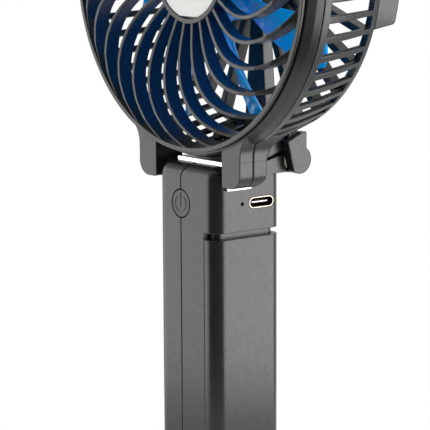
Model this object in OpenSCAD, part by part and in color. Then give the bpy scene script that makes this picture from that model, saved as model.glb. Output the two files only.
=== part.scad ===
// Handheld fan with a head that folds back
// Front is -Y, and the origin is at the middle of the handle's foot

/* [Handle] */
// Width of the handle, side to side
handle_w = 27.8; // [27:0.1:34]
// Depth of the handle, front to back
handle_d = 25.4; // [23:0.1:30]
// Height of the handle
handle_h = 103.5; // [102:0.5:130]
// Radius of the handle's long edges and of the edges round its top
handle_edge_r = 4.1; // [3.6:0.1:6]
// Wall of the two shells
shell_wall = 1.8; // [1.4:0.1:2]
// Distance of the shells' seam from the middle
seam_offset = 2.2; // [1:0.1:4]
// Radius of the seam's bend at the top
seam_bend_r = 4.9; // [4.8:0.1:8]
// Height over which the seam bends
seam_bend_h = 4.6; // [3:0.1:4.7]
// Width of the groove along the seam
seam_groove = 0.35; // [0.2:0.05:0.6]
// Depth of the groove along the seam
seam_groove_depth = 0.5; // [0.3:0.1:1]

/* [Battery cover] */
// Distance of the cover's edges from the middle
cover_x = 8.6; // [7.5:0.1:10]
// Height of the cover's lower edge
cover_low = 3; // [2.5:0.1:6]
// Distance of the finger slot's upper edge below the handle's top
slot_drop = 19.45; // [18.5:0.05:21]
// Height of the finger slot
slot_h = 2.05; // [1.5:0.05:3]
// Depth of the finger slot
slot_depth = 2; // [1.9:0.1:2.6]
// Wall behind the finger slot
slot_wall = 1.2; // [0.8:0.1:1.6]
// Gap round the cover
cover_gap = 0.15; // [0.1:0.05:0.3]

/* [Battery] */
// Radius of the cell
cell_r = 9.2; // [8.8:0.1:9.3]
// Length of the cell
cell_l = 65; // [60:0.5:66]
// Shift of the cell towards the cover
cell_shift = 1; // [0:0.1:1.5]
// Height of the floor that the cell's lower contact stands on
cell_floor_z = 10.2; // [9.8:0.1:11]
// Room for each contact at the cell's ends
contact_h = 1.6; // [1.2:0.1:2]
// Thickness of the contacts' metal
contact_t = 0.5; // [0.3:0.1:0.6]

/* [Controls] */
// Radius of the power button
button_r = 4; // [3:0.1:4.6]
// Gap round the power button
button_gap = 0.35; // [0.15:0.05:0.4]
// Distance of the button's centre below the handle's top
button_drop = 12; // [11.5:0.1:12.5]
// Travel of the button
button_travel = 0.4; // [0.2:0.1:0.6]
// Radius of the button's flange behind the wall
button_flange_r = 5.2; // [5:0.1:5.6]
// Radius of the button's stem
button_stem_r = 2; // [1.5:0.1:2.5]
// Width of the power mark's lines
mark_w = 0.35; // [0.2:0.05:0.6]
// Depth of the power mark
mark_depth = 0.1; // [0.1:0.05:0.5]
// Radius of the power mark's ring
mark_r = 2.5; // [2:0.1:2.9]
// Side of the switch under the button
switch_w = 6; // [5:0.1:6.5]
// Height of the switch's body
switch_h = 3.5; // [3:0.1:4]
// Thickness of the circuit board
board_t = 1.6; // [1:0.1:1.8]
// Distance of the board's front face from the handle's middle
board_front = 2.1; // [1.8:0.1:2.2]
// Height of the circuit board
board_h = 14.5; // [13:0.1:15]
// Outer width of the charging socket
socket_w = 9.2; // [8.5:0.02:9.2]
// Outer height of the charging socket
socket_h = 3.26; // [3:0.02:3.4]
// Depth of the charging socket
socket_l = 7.3; // [6.5:0.1:8]
// Wall of the charging socket
socket_wall = 0.3; // [0.2:0.05:0.4]
// Distance of the socket's centre behind the handle's middle
socket_back = 4.7; // [4.5:0.1:5.2]
// Distance of the socket's centre below the handle's top
socket_drop = 11.35; // [10.6:0.05:11.5]
// Radius of the charge light
light_r = 0.5; // [0.4:0.05:0.8]

/* [Hinge] */
// Distance of the hinge's axis behind the handle's back
hinge_back = 4.3; // [4.2:0.1:4.6]
// Height of the hinge's axis above the handle's top
hinge_rise = 0.25; // [0.2:0.05:0.8]
// Radius of the hinge's barrel and of the cheeks' bosses
barrel_r = 4.1; // [3.6:0.1:4.3]
// Radius of the hinge's pin
pin_r = 1.5; // [1:0.1:2]
// Running gap round the pin
pin_gap = 0.03; // [0.02:0.01:0.08]
// Depth of the pin's seat in each cheek
pin_seat = 2; // [1.5:0.1:2.2]
// Gap between the handle's sides and the cheeks, filled by the washers
washer_t = 0.3; // [0.25:0.05:0.5]
// Thickness of each cheek
cheek_t = 3; // [2.6:0.1:3.6]
// Gap between the barrel and the bracket over it
bracket_gap = 0.9; // [0.6:0.1:1]

/* [Strap] */
// Thickness of the strap
strap_t = 1.3; // [1:0.05:2]
// Width of the strap, front to back
strap_w = 8.9; // [6:0.1:9.4]
// Distance of the strap's front edge behind the head's lip
strap_front = 4.1; // [3:0.1:5]
// Distance of the strap's left end from the middle
strap_left = 8.3; // [6:0.1:9]
// Thickness of the strap's leg
leg_t = 1; // [0.8:0.1:1.2]
// Height of the strap's leg below the handle's top
leg_h = 6.9; // [6:0.1:9]
// Gap between the strap and the ring above it
strap_gap = 0.3; // [0.3:0.05:0.8]

/* [Head] */
// Distance of the head's lip behind the handle's front, or in front of it when below zero
lip_back = -0.35; // [-1:0.01:1.5]
// Outer radius of the lip
lip_r = 53; // [52:0.1:53.2]
// Width of the lip
lip_w = 1.33; // [1:0.01:1.6]
// Distance of the seam between grille and housing behind the lip
seam_y = 6.6; // [5.8:0.05:7]
// Radius at that seam
seam_r = 54.9; // [54.3:0.1:56]
// Distance of the housing's rear edge behind the lip
rear_y = 31.7; // [31:0.1:33]
// Radius at the housing's rear edge
rear_r = 49.4; // [48:0.1:50]
// Wall of the housing in front of and behind its slats
housing_wall = 2.6; // [2.2:0.1:3]
// Depth of the slats
slat_t = 1.3; // [1.1:0.1:1.6]
// Number of slats
slat_count = 58; // [40:1:64]
// Angle of the first slot from the bottom
slot_first = 5.45; // [0:0.05:6]
// Width of the slots between the slats
slot_w = 3.9; // [2:0.1:3.9]
// Start of the slots behind the lip
slot_start = 9.4; // [9:0.1:11]
// End of the slots behind the lip
slot_end = 29.4; // [28:0.1:29.6]

/* [Front grille] */
// Number of curved ribs
rib_count = 27; // [18:1:30]
// Width of a rib
rib_w = 1.1; // [0.8:0.05:1.6]
// Depth of a rib
rib_depth = 4.8; // [3:0.1:5]
// Set of the ribs' front edge behind the lip
rib_set = 0.4; // [0:0.1:0.9]
// Bulge of the ribs in front of the line from hub to lip
rib_bulge = 3.9; // [0:0.1:4.5]
// Radius at which the ribs start to bend
rib_bend_start = 17; // [16.5:0.1:20]
// Bending radius of the ribs
rib_bend_r = 26.1; // [24:0.1:28]
// Angle of the ribs' bend
rib_bend = 108; // [100:1:120]
// Angle of the first rib from the bottom
rib_phase = 6.1; // [0:0.1:13]
// Outer radius of the hub ring
hub_ring_r = 15.7; // [15:0.1:17]
// Radius of the badge
badge_r = 14.2; // [13:0.1:14.8]
// Thickness of the badge
badge_t = 1; // [0.8:0.1:1.5]

/* [Rear spokes] */
// Width of a thin spoke
spoke_w = 2; // [1.4:0.1:2.6]
// Distance of the spokes' front edge behind the lip
spoke_front = 27.2; // [27:0.1:28]
// Depth of a spoke
spoke_depth = 3.9; // [3:0.1:4]
// Angle of the first thin spoke from the bottom
spoke_first = 20.75; // [16:0.05:24]
// Number of thin spokes on each side
spoke_steps = 13; // [10:1:15]
// Half width of the wide bar at the motor seat
bar_in = 2.3; // [2:0.1:3]
// Half width of the wide bar at the rim
bar_out = 5.2; // [4:0.1:6]
// Length of the rear feet behind the housing
foot_l = 7.6; // [4:0.1:9]
// Half height of the rear feet at the housing
foot_half = 16.4; // [10:0.1:20]
// Slant of the rear feet's upper and lower ends
foot_slant = 1.3; // [0:0.1:3]
// Thickness of the rear feet
foot_t = 2; // [1.5:0.1:2.6]

/* [Ears] */
// Distance of the ears' inner sides from the middle
ear_in = 15.6; // [15.5:0.1:18]
// Distance of the ears' front faces behind the lip
ear_front = 1.5; // [1.3:0.1:2.5]
// Width of an ear
ear_w = 8.2; // [6:0.1:9]
// Distance of the ears' lower ends below the handle's top
ear_drop = 5.5; // [4:0.1:7]
// Depth of the ears behind the lip
ear_depth = 11.4; // [10.5:0.1:12.5]
// Radius of an ear's outer lower corner
ear_corner_r = 4.4; // [2:0.1:4.8]
// Radius of the hollow between ear and ring
ear_flare_r = 8.5; // [6:0.5:12]

/* [Motor] */
// Radius of the motor
motor_r = 12.2; // [11:0.1:12.4]
// Length of the motor
motor_l = 12.4; // [11.5:0.1:12.6]
// Wall of the motor's can
can_wall = 0.8; // [0.6:0.1:1.2]
// Thickness of the magnets
magnet_t = 2.2; // [1.5:0.1:2.4]
// Gap between magnets and armature
air_gap = 0.4; // [0.3:0.05:0.6]
// Radius of the shaft
shaft_r = 1; // [0.8:0.1:1.4]
// Running gap round the shaft
shaft_gap = 0.05; // [0.02:0.01:0.08]
// Wall of the motor's seat in the housing
seat_wall = 2.6; // [2:0.1:3]
// Thickness of the cover behind the motor
motor_cover_t = 1.1; // [0.8:0.1:1.2]

/* [Impeller] */
// Radius of the impeller's tips
tip_r = 46.5; // [38:0.1:47]
// Radius of the impeller's hub
hub_r = 15.5; // [15:0.1:16]
// Wall of the impeller's hub
hub_wall = 1.4; // [1:0.1:1.8]
// Distance of the hub's face behind the lip
hub_front = 6.4; // [6.2:0.1:7]
// Depth of the hub
hub_depth = 13; // [11:0.1:13.4]
// Number of blades
blade_count = 8; // [5:1:9]
// Distance of the blades' middle behind the lip
blade_mid = 14; // [13.5:0.1:15]
// Width of a blade at the hub
chord_root = 17; // [14:0.1:18]
// Width of a blade near its tip
chord_tip = 24; // [16:0.1:24]
// Pitch of a blade at the hub
pitch_root = 48; // [40:1:52]
// Pitch of a blade at its tip
pitch_tip = 32; // [26:1:36]
// Thickness of a blade
blade_t = 1.2; // [0.9:0.1:1.6]
// Hollow of a blade's face
blade_camber = 1.6; // [0.5:0.1:2.5]
// Angle by which the blade's tip leads its root
blade_sweep = 15; // [0:1:20]
// Set of the blades' tips behind their roots
blade_rake = 3; // [0:0.1:3.5]
// Angle of the first blade from the bottom
blade_phase = 4; // [0:1:72]

/* [Hidden] */
$fn = 96;

// Small clearances and shared small sizes
part_gap = 0.1;
fit_gap = 0.02;
thread_gap = 0.03;
over = 1;
body_gap = 0.3;

// Places of the head and the hinge
lip_y = lip_back - handle_d / 2;
head_z = handle_h + strap_t + strap_gap + seam_r;
hinge_y = handle_d / 2 + hinge_back;
hinge_z = handle_h + hinge_rise;
// The same hinge, measured from the head's middle
head_hinge_y = hinge_y - lip_y;
head_hinge_z = hinge_z - head_z;
barrel_half = handle_w / 2;
arm_reach = 12.7;
arm_drop = 3.45;
cheek_in = barrel_half + washer_t;
cheek_out = cheek_in + cheek_t;
pin_half = cheek_in + pin_seat;

// Handle's inside
inner_w = handle_w - 2 * shell_wall;
inner_d = handle_d - 2 * shell_wall;
seam_bend_z = handle_h - seam_bend_h;
slot_top = handle_h - slot_drop;
cover_top = slot_top - slot_h;
cell_low = cell_floor_z + contact_h;
cell_high = cell_low + cell_l;
cell_roof_z = cell_high + contact_h;
floor_t = 1.4;
seat_pocket = contact_t + fit_gap;
contact_half = 4.5;

// Handle's screws
screw_r = 1;
screw_hole_r = 1.15;
screw_head_r = 2;
screw_head_h = 1.4;
screw_sink = 1.5;
screw_head_gap = 0.15;
cross_w = 0.6;
cross_l = 2.8;
boss_r = 2.4;
screw_l = 14;
boss_sink = 0.3;
boss_reach = 6;
low_screw_z = shell_wall + boss_r - boss_sink;
low_screw_y = 6;
mid_screw_z = cell_roof_z + floor_t + boss_r - boss_sink;
mid_screw_y = -6.5;
top_screw_z = handle_h - 5.6;
top_screw_y = 6.5;
screw_places = [
    [-low_screw_y, low_screw_z], [low_screw_y, low_screw_z],
    [mid_screw_y, mid_screw_z], [top_screw_y, top_screw_z]
];

// Controls
button_z = handle_h - button_drop;
socket_z = handle_h - socket_drop;
board_top = handle_h - 3;
board_low = board_top - board_h;
board_y = -board_front;
board_half = inner_w / 2 - body_gap;
switch_front = board_y - switch_h;
plunger_h = 0.6;
plunger_r = 1.7;
flange_t = 0.8;
button_front = -handle_d / 2;
flange_back = button_front + shell_wall + flange_t + part_gap;
stem_end = switch_front - plunger_h - button_travel - part_gap;
led_size = [2.2, 0.9, 1.4];
light_y = board_y - led_size[1] / 2;
light_z = socket_z;
light_sink = 0.9;

// Motor and its seat, measured from the head's lip
seat_back_t = 1.6;
seat_r = motor_r + seat_wall;
motor_back = spoke_front + 0.8;
motor_front = motor_back - motor_l;
seat_front = hub_front + hub_depth + 1.1;
seat_end = spoke_front + spoke_depth;
bearing_r = 3.2;
bearing_h = 1;
shaft_front = hub_front + 1.8;
shaft_end = motor_back - 0.3;
boss_end = motor_front - bearing_h - 0.4;
hub_boss_r = 3.4;
armature_r = motor_r - can_wall - magnet_t - air_gap;
armature_front = motor_front + 2.2;
armature_back = motor_back - 2.6;
bell_t = 1;
motor_screw_ring = 7.5;
cover_seat = 1.4;

// Ears' screws
ear_mid = ear_in + ear_w / 2;
ear_low = handle_h - ear_drop - head_z;
ear_screw_z = ear_low + ear_w / 2;
ear_screw_l = 6.8;
ear_head_h = 1.1;

// Front grille
spigot_depth = 1.7;
spigot_wall = 0.9;
lip_in = lip_r - lip_w;
badge_front = 1.9;
badge_flat_half = 4;
seam_line = 0.35;
seam_line_depth = 0.4;
hub_ring_front = 1.6;
rib_hub_y = 1.9;
rib_hub_depth = 3.6;
rib_bulge_shape = 1.7;
rib_rings = 9;

function blend(a, b, u) = a + (b - a) * u;

module rounded_rect(w, h, r) {
    square([w - 2 * r, h], center = true);
    square([w, h - 2 * r], center = true);
    for (x = [-1, 1], y = [-1, 1])
        translate([x * (w / 2 - r), y * (h / 2 - r)]) circle(r);
}

// A flat shape given in X and Z, with its thickness from front to back
module slab_y(front, back) {
    translate([0, back, 0]) rotate([90, 0, 0]) linear_extrude(back - front) children();
}

// A flat shape given in Y and Z, with its thickness from left to right
module slab_x(left, right) {
    translate([left, 0, 0]) rotate([90, 0, 90]) linear_extrude(right - left) children();
}

module rod_y(front, back, r) {
    translate([0, front, 0]) rotate([-90, 0, 0]) cylinder(h = back - front, r = r);
}

module rod_x(left, right, r) {
    translate([left, 0, 0]) rotate([0, 90, 0]) cylinder(h = right - left, r = r);
}

// A profile given as radius and distance behind the lip, turned about the head's axis
module turned(points) {
    rotate([-90, 0, 0]) rotate_extrude() polygon(points);
}

module at_head() {
    translate([0, lip_y, head_z]) children();
}

module band_z(low, high) {
    translate([-handle_w, -handle_d, low]) cube([2 * handle_w, 2 * handle_d, high - low]);
}

// The handle's outer form, or the same form smaller all round
module handle_body(inset = 0) {
    r = handle_edge_r - inset;
    round_x = handle_w / 2 - handle_edge_r;
    round_y = handle_d / 2 - handle_edge_r;
    round_z = handle_h - handle_edge_r;
    translate([0, 0, inset]) linear_extrude(round_z - inset)
        rounded_rect(handle_w - 2 * inset, handle_d - 2 * inset, r);
    translate([-round_x, -round_y, inset]) cube([2 * round_x, 2 * round_y, handle_h - 2 * inset]);
    for (side = [-1, 1]) {
        translate([0, side * round_y, round_z]) rod_x(-round_x, round_x, r);
        translate([side * round_x, 0, round_z]) rod_y(-round_y, round_y, r);
        for (x = [-1, 1]) translate([x * round_x, side * round_y, round_z]) sphere(r);
    }
}

// The side view of the arm that carries the hinge's barrel
module arm_outline() {
    arm_low = handle_h - arm_drop;
    polygon([
        [handle_d / 2 - shell_wall, arm_low], [hinge_y - 2.8, arm_low], [hinge_y, hinge_z - barrel_r],
        [hinge_y, hinge_z], [hinge_y - barrel_r + 0.35, hinge_z + 1.45], [hinge_y - 5.5, handle_h + 1.6],
        [hinge_y - arm_reach, handle_h], [hinge_y - arm_reach, handle_h - shell_wall],
        [handle_d / 2 - shell_wall, handle_h - shell_wall]
    ]);
}

module handle_arm() {
    slab_x(-barrel_half, barrel_half) arm_outline();
    // Square shoulders at the sides, in place of the handle's rounded edges
    shoulder_t = handle_edge_r;
    for (side = [0, 1]) mirror([side, 0, 0]) slab_x(barrel_half - shoulder_t, barrel_half) polygon([
        [hinge_y - arm_reach, handle_h], [hinge_y - arm_reach, handle_h - handle_edge_r],
        [handle_d / 2 - handle_edge_r, handle_h - handle_edge_r],
        [handle_d / 2 - handle_edge_r, handle_h - arm_drop],
        [handle_d / 2 - shell_wall + part_gap, handle_h - arm_drop],
        [handle_d / 2 - shell_wall + part_gap, handle_h]
    ]);
    translate([0, hinge_y, hinge_z]) rod_x(-barrel_half, barrel_half, barrel_r);
}

// What lies right of the seam, seen from the front; grow moves the seam to the left
module right_of_seam(grow = 0) {
    bend_x = seam_bend_r - seam_offset;
    top_x = bend_x - sqrt(pow(seam_bend_r, 2) - pow(seam_bend_h, 2)) - grow;
    top_z = seam_bend_z + sqrt(pow(seam_bend_r + grow, 2) - pow(bend_x - top_x, 2));
    translate([-seam_offset - grow, -over]) square([handle_w, seam_bend_z + over]);
    intersection() {
        translate([bend_x, seam_bend_z]) circle(seam_bend_r + grow);
        translate([-handle_w, seam_bend_z - over]) square([2 * handle_w, seam_bend_h + 2 * over]);
    }
    translate([top_x, top_z - 0.01]) square([handle_w, 2 * barrel_r]);
    translate([bend_x, -over]) square([handle_w, handle_h + 2 * barrel_r]);
}

module seam_cut() {
    difference() {
        slab_y(-handle_d, handle_d / 2) intersection() {
            difference() {
                right_of_seam(seam_groove / 2);
                right_of_seam(-seam_groove / 2);
            }
            translate([-handle_w, -2 * over]) square([2 * handle_w, handle_h + 2 * over]);
        }
        handle_body(seam_groove_depth);
    }
}

// Floors for the cell's contacts and bosses for the screws, inside the shells
module handle_inside() {
    intersection() {
        handle_body(shell_wall / 2);
        union() {
            difference() {
                union() {
                    band_z(cell_floor_z - floor_t, cell_floor_z);
                    band_z(cell_roof_z, cell_roof_z + floor_t);
                }
                translate([cell_shift, 0, cell_floor_z - seat_pocket])
                    linear_extrude(cell_roof_z - cell_floor_z + 2 * seat_pocket)
                        square(2 * contact_half + 2 * fit_gap, center = true);
            }
            for (p = screw_places) translate([0, p[0], p[1]])
                rod_x(-handle_w / 2, boss_reach, boss_r);
            // Web from the top boss to the rear wall
            translate([-handle_w / 2, top_screw_y, top_screw_z - 0.6])
                cube([handle_w / 2 + boss_reach, handle_d / 2 - top_screw_y, 1.2]);
        }
    }
}

module screw_holes() {
    for (p = screw_places) translate([-handle_w / 2, p[0], p[1]]) {
        rod_x(-over, screw_sink + screw_head_h, screw_head_r + screw_head_gap);
        rod_x(0, handle_w / 2 - seam_offset, screw_hole_r);
        rod_x(0, screw_sink + screw_head_h + screw_l + 0.5, screw_r + thread_gap);
    }
}

module handle_holes() {
    translate([0, hinge_y, hinge_z]) rod_x(-handle_w, handle_w, pin_r + pin_gap);
    translate([-seam_offset, 0, button_z])
        rod_y(-handle_d, button_front + shell_wall + 2 * part_gap, button_r + button_gap);
    translate([0, socket_back, socket_z]) slab_x(handle_w / 2 - 3, handle_w)
        rounded_rect(socket_w + 2 * part_gap, socket_h + 2 * part_gap, socket_h / 2 + part_gap - 0.001);
    translate([0, light_y, light_z]) rod_x(handle_w / 2 - 3, handle_w, light_r + fit_gap);
    screw_holes();
    seam_cut();
}

module shells() {
    difference() {
        union() {
            difference() {
                handle_body();
                handle_body(shell_wall);
            }
            handle_arm();
            handle_inside();
        }
        handle_holes();
    }
}

module left_shell() {
    color([0.36, 0.37, 0.36]) difference() {
        shells();
        slab_y(-2 * handle_d, 2 * handle_d) right_of_seam();
    }
}

// The wall behind the finger slot, hung from a flange above it
module slot_back() {
    behind = cover_x - 2;
    intersection() {
        translate([behind, -handle_d, 0]) cube([handle_w, 2 * handle_d, handle_h]);
        union() {
            difference() {
                intersection() {
                    handle_body(slot_depth);
                    band_z(cover_top - 1.5, slot_top + slot_wall);
                }
                handle_body(slot_depth + slot_wall);
            }
            difference() {
                intersection() {
                    handle_body(shell_wall / 2);
                    band_z(slot_top, slot_top + slot_wall);
                }
                handle_body(slot_depth + slot_wall);
            }
        }
    }
}

module right_shell() {
    color([0.38, 0.39, 0.38]) {
        difference() {
            intersection() {
                shells();
                slab_y(-2 * handle_d, 2 * handle_d) right_of_seam();
            }
            translate([cover_x, -handle_d, cover_low])
                cube([handle_w, 2 * handle_d, slot_top - cover_low]);
        }
        slot_back();
    }
}

module battery_cover() {
    tab_reach = 1.5;
    tab_l = 5.2;
    tab_t = 1;
    tab_h = 8;
    tab_foot = 1.4;
    tab_heights = [cell_floor_z + tab_h, cover_top - 2.5 * tab_h];
    color([0.38, 0.39, 0.38]) {
        intersection() {
            difference() {
                handle_body();
                handle_body(shell_wall);
            }
            translate([cover_x + cover_gap, -handle_d, cover_low + cover_gap])
                cube([handle_w, 2 * handle_d, cover_top - cover_low - cover_gap]);
        }
        // Guide tabs behind the front and rear walls, each on a foot that joins it to the wall
        for (side = [0, 1], z = tab_heights) mirror([0, side, 0]) {
            translate([cover_x - tab_reach, inner_d / 2 - part_gap - tab_t, z]) cube([tab_l, tab_t, tab_h]);
            translate([cover_x + tab_t, inner_d / 2 - 0.8 * tab_t, z]) cube([tab_foot, tab_t, tab_h]);
        }
    }
}

// A screw that points along +X, with its head's outer face at X = 0
module screw(head_h, length) {
    difference() {
        union() {
            rod_x(0, head_h, screw_head_r);
            rod_x(head_h - 0.1, head_h + length, screw_r);
        }
        for (turn = [0, 90]) rotate([turn, 0, 0])
            translate([-over, -cross_w / 2, -cross_l / 2]) cube([over + head_h / 2, cross_w, cross_l]);
    }
}

module shell_screws() {
    color([0.62, 0.63, 0.65])
        for (p = screw_places) translate([screw_sink - handle_w / 2, p[0], p[1]])
            screw(screw_head_h, screw_l);
}

module latch_strap() {
    half = handle_w / 2 + part_gap;
    bend_r = leg_t + 0.5;
    corner_x = half + leg_t - bend_r;
    color([0.86, 0.86, 0.84]) translate([0, 0, handle_h])
        slab_y(lip_y + strap_front, lip_y + strap_front + strap_w) {
            translate([-strap_left, 0]) square([strap_left + corner_x, strap_t]);
            intersection() {
                translate([corner_x, strap_t - bend_r]) circle(bend_r);
                translate([corner_x, -handle_w]) square([handle_w, 2 * handle_w]);
            }
            translate([half, -leg_h]) square([leg_t, leg_h + strap_t - bend_r]);
        }
}

module friction_washers() {
    washer_r = barrel_r - 0.5;
    color([0.75, 0.73, 0.62]) for (side = [-1, 1])
        translate([side * (barrel_half + washer_t / 2), hinge_y, hinge_z]) difference() {
            rod_x(-washer_t / 2, washer_t / 2, washer_r);
            rod_x(-washer_t, washer_t, pin_r + 0.2);
        }
}

module battery_cell() {
    color([0.2, 0.45, 0.35]) translate([cell_shift, 0, cell_low]) difference() {
        cylinder(h = cell_l, r = cell_r);
        translate([0, 0, cell_l - 0.8]) difference() {
            cylinder(h = over, r = cell_r - 0.8);
            translate([0, 0, -over]) cylinder(h = 3 * over, r = 4.2);
        }
    }
}

module battery_spring() {
    color([0.75, 0.72, 0.55]) translate([cell_shift, 0, cell_floor_z - contact_t]) {
        translate([-contact_half, -contact_half, 0]) cube([2 * contact_half, 2 * contact_half, contact_t]);
        // Bent leaf that presses on the cell's lower end
        slab_y(-2, 2) polygon([
            [-3.5, 0.1], [-3.5, contact_t + 0.1], [2, contact_t + contact_h - part_gap],
            [3.5, contact_t + contact_h - part_gap], [3.5, contact_h - part_gap], [2.2, contact_h - part_gap],
            [-2.4, 0.1]
        ]);
    }
}

module battery_plate() {
    color([0.75, 0.72, 0.55]) translate([cell_shift, 0, cell_roof_z]) {
        translate([-contact_half, -contact_half, 0]) cube([2 * contact_half, 2 * contact_half, contact_t]);
        translate([0, 0, -contact_h + part_gap]) cylinder(h = contact_h, r = 2.5);
    }
}

module main_board() {
    color([0.08, 0.3, 0.18]) translate([-board_half, board_y, board_low])
        cube([2 * board_half, board_t, board_h]);
}

module board_parts() {
    // Place on the board's rear face and size of each part
    charger_chip = [[-9, 2], [5, 1.2, 4]];
    motor_driver = [[-2, 1.5], [3, 1.4, 3]];
    coil = [[-9, 8.5], [4, 3.2, 4]];
    color([0.12, 0.12, 0.13]) translate([0, board_y + board_t, board_low])
        for (p = [charger_chip, motor_driver, coil]) translate([p[0][0], 0, p[0][1]]) cube(p[1]);
    color([0.9, 0.9, 0.85])
        translate([board_half - led_size[0], board_y - led_size[1], light_z - led_size[2] / 2])
            cube(led_size);
}

module tact_switch() {
    color([0.25, 0.25, 0.26]) translate([-seam_offset, 0, button_z]) {
        translate([-switch_w / 2, switch_front, -switch_w / 2]) cube([switch_w, switch_h, switch_w]);
        rod_y(switch_front - plunger_h, switch_front + 0.1, plunger_r);
    }
}

module power_mark() {
    gap_angle = 38;
    difference() {
        circle(mark_r + mark_w / 2);
        circle(mark_r - mark_w / 2);
        polygon([[0, 0], for (side = [-1, 1]) 2 * mark_r * [side * sin(gap_angle), 1]]);
    }
    translate([-mark_w / 2, -1]) square([mark_w, mark_r + 1.9]);
}

module power_button() {
    color([0.36, 0.37, 0.36]) translate([-seam_offset, 0, button_z]) difference() {
        union() {
            rod_y(button_front, flange_back, button_r);
            rod_y(button_front + shell_wall + part_gap, flange_back, button_flange_r);
            rod_y(flange_back - 0.1, stem_end, button_stem_r);
        }
        slab_y(button_front - over, button_front + mark_depth) power_mark();
    }
}

module charge_light() {
    color([0.1, 0.1, 0.12]) translate([0, light_y, light_z])
        rod_x(board_half + part_gap / 2, handle_w / 2 - light_sink, light_r);
}

module socket_outline(inset = 0) {
    h = socket_h - 2 * inset;
    rounded_rect(socket_w - 2 * inset, h, h / 2 - 0.001);
}

module usb_port() {
    mouth = handle_w / 2;
    color([0.8, 0.78, 0.7]) translate([0, socket_back, socket_z]) difference() {
        slab_x(mouth - socket_l, mouth) socket_outline();
        slab_x(mouth - socket_l + 1, mouth + over) socket_outline(socket_wall);
    }
}

module usb_tongue() {
    tongue = [5.3, 6.7, 0.7];
    color([0.3, 0.3, 0.32]) translate([handle_w / 2 - socket_l + 1, socket_back - tongue[1] / 2,
        socket_z - tongue[2] / 2]) cube(tongue);
}

// Outer radius of the housing at a distance behind the lip
function housing_r(y) = seam_r - (seam_r - rear_r) * pow((y - seam_y) / (rear_y - seam_y), 1.35);
housing_steps = 8;
function housing_y(i, first, last) = first + (last - first) * i / housing_steps;

// Distance of the ribs' front edge behind the lip, from the hub ring at s = 0 to the lip at s = 1
function rib_front(s) = blend(rib_hub_y, rib_set, s)
    - 4 * rib_bulge * pow(s, rib_bulge_shape) * (1 - pow(s, rib_bulge_shape));
function rib_point(i, back) = let (s = i / rib_rings)
    [blend(hub_ring_r - 1, lip_in + 0.3, s), rib_front(s) + back * blend(rib_hub_depth, rib_depth, s)];

module rib_dome() {
    turned(concat(
        [for (i = [0:rib_rings]) rib_point(i, 0)],
        [for (i = [rib_rings:-1:0]) rib_point(i, 1)]
    ));
}

module rib_outline() {
    translate([-rib_w / 2, -rib_bend_start]) square([rib_w, rib_bend_start - hub_ring_r + 0.6]);
    translate([rib_bend_r, -rib_bend_start]) intersection() {
        difference() {
            circle(rib_bend_r + rib_w / 2);
            circle(rib_bend_r - rib_w / 2);
        }
        polygon(concat([[0, 0]], [
            for (a = [0:rib_bend / 2:rib_bend]) 4 * rib_bend_r * [-cos(a), -sin(a)]
        ]));
    }
}

// Outline of one ear, seen from the front
module ear_outline() {
    high = 0.8 * seam_r;
    out = ear_in + ear_w;
    inner_r = 1;
    // The hollow touches the ear's outer side and the ring
    ring_r = lip_r + 0.6;
    hollow = [out + ear_flare_r, -sqrt(pow(ring_r + ear_flare_r, 2) - pow(out + ear_flare_r, 2))];
    touch = hollow * ring_r / (ring_r + ear_flare_r);
    translate([ear_in + inner_r, ear_low]) square([ear_w - inner_r - ear_corner_r, -ear_low - high + 3]);
    translate([ear_in, ear_low + inner_r]) square([ear_w - ear_corner_r, -ear_low - inner_r - high + 3]);
    translate([ear_in, ear_low + ear_corner_r]) square([ear_w, hollow[1] - ear_low - ear_corner_r]);
    translate([ear_in + inner_r, ear_low + inner_r]) circle(inner_r);
    intersection() {
        translate([out - ear_corner_r, ear_low + ear_corner_r]) circle(ear_corner_r);
        translate([ear_in, ear_low]) square([ear_w, 2 * ear_corner_r]);
    }
    difference() {
        polygon([
            [ear_in, hollow[1] - over], [out, hollow[1] - over], hollow, touch, 0.95 * touch,
            [ear_in, touch[1]]
        ]);
        translate(hollow) circle(ear_flare_r);
    }
}

// Side view of the ears, which widens to the rear where it meets the ring
module ear_side() {
    rear_corner_r = 3;
    hollow_z = ear_low + 6.7;
    translate([-over, ear_low + rear_corner_r]) square([ear_depth + over, seam_r]);
    translate([-over, ear_low]) square([ear_depth + over - rear_corner_r, seam_r]);
    translate([ear_depth - rear_corner_r, ear_low + rear_corner_r]) circle(rear_corner_r);
    difference() {
        translate([ear_depth - over, hollow_z]) square([ear_flare_r / 2 + over, ear_flare_r]);
        translate([ear_depth + ear_flare_r, hollow_z]) circle(ear_flare_r);
    }
}

// Both ears between two depths, cut clear of the ring's inside; inset draws in their outer sides
module ears(front, back, inset = 0) {
    difference() {
        intersection() {
            slab_y(front, back) for (side = [0, 1]) mirror([side, 0]) intersection() {
                ear_outline();
                translate([-inset, inset]) ear_outline();
            }
            slab_x(-seam_r, seam_r) ear_side();
        }
        rod_y(-over, rear_y, seam_r - 2);
        for (side = [-1, 1]) translate([side * ear_mid, 0, ear_screw_z]) {
            rod_y(ear_depth - ear_screw_l - 2 * ear_head_h, rear_y, screw_r + thread_gap);
            rod_y(ear_depth - ear_head_h - part_gap, rear_y, screw_head_r + screw_head_gap);
        }
    }
}

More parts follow.
